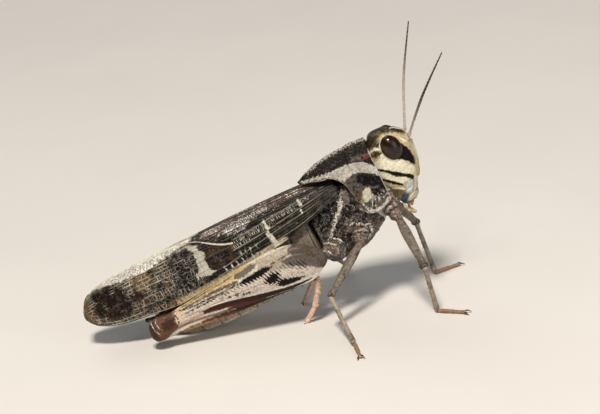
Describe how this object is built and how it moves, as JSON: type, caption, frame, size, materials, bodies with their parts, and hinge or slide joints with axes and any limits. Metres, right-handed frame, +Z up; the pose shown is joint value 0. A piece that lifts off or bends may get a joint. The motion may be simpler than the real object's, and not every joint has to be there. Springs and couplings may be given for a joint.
{
  "type": "grasshopper",
  "caption": "Life-size still model of a band-winged grasshopper standing head-up with folded wings, a crested pronotum and striped cheeks.",
  "frame": {"origin": "on the ground under the middle of the animal's box", "axes": "+X towards the head, +Y to the animal's left, +Z up from the ground"},
  "size_m": [0.0458, 0.0326, 0.0322],
  "materials": {
    "body_cuticle": "dark punctured cuticle, satin",
    "belly_cuticle": "cream cuticle, satin",
    "pronotum_shell": "granular shell plate, matte to satin",
    "head_cuticle": "cream and olive cuticle with black stripes, satin",
    "compound_eye": "dark brown faceted eye, glossy",
    "antenna_horn": "ringed horn, satin",
    "tegmen_membrane": "leathery veined forewing, satin",
    "hindwing_membrane": "folded veined membrane, satin",
    "hind_femur_shell": "banded shell with a fishbone relief, satin",
    "hind_tibia_shell": "maroon shell with spines, satin",
    "leg_shell": "mottled shell, satin",
    "foot_shell": "pinkish horn and soft pads, satin",
    "claw_horn": "brown horn, satin"
  },
  "bodies": {
    "root": {"thorax": "body_cuticle", "abdomen": "belly_cuticle", "pronotum": "pronotum_shell", "head": "head_cuticle", "mouthparts": "head_cuticle", "ovipositor": "claw_horn", "eye_right": "compound_eye", "antenna_right": "antenna_horn", "tegmen_right": "tegmen_membrane", "hindwing_right": "hindwing_membrane", "cercus_right": "belly_cuticle", "foreleg_coxa_right": "body_cuticle", "foreleg_femur_right": "leg_shell", "foreleg_tibia_right": "leg_shell", "foreleg_tarsus_right": "foot_shell", "midleg_coxa_right": "body_cuticle", "midleg_femur_right": "leg_shell", "midleg_tibia_right": "leg_shell", "midleg_tarsus_right": "foot_shell", "hindleg_coxa_right": "body_cuticle", "hindleg_femur_right": "hind_femur_shell", "hindleg_tibia_right": "hind_tibia_shell", "hindleg_tarsus_right": "foot_shell", "eye_left": "compound_eye", "antenna_left": "antenna_horn", "tegmen_left": "tegmen_membrane", "hindwing_left": "hindwing_membrane", "cercus_left": "belly_cuticle", "foreleg_coxa_left": "body_cuticle", "foreleg_femur_left": "leg_shell", "foreleg_tibia_left": "leg_shell", "foreleg_tarsus_left": "foot_shell", "midleg_coxa_left": "body_cuticle", "midleg_femur_left": "leg_shell", "midleg_tibia_left": "leg_shell", "midleg_tarsus_left": "foot_shell", "hindleg_coxa_left": "body_cuticle", "hindleg_femur_left": "hind_femur_shell", "hindleg_tibia_left": "hind_tibia_shell", "hindleg_tarsus_left": "foot_shell"}
  },
  "joints": []
}
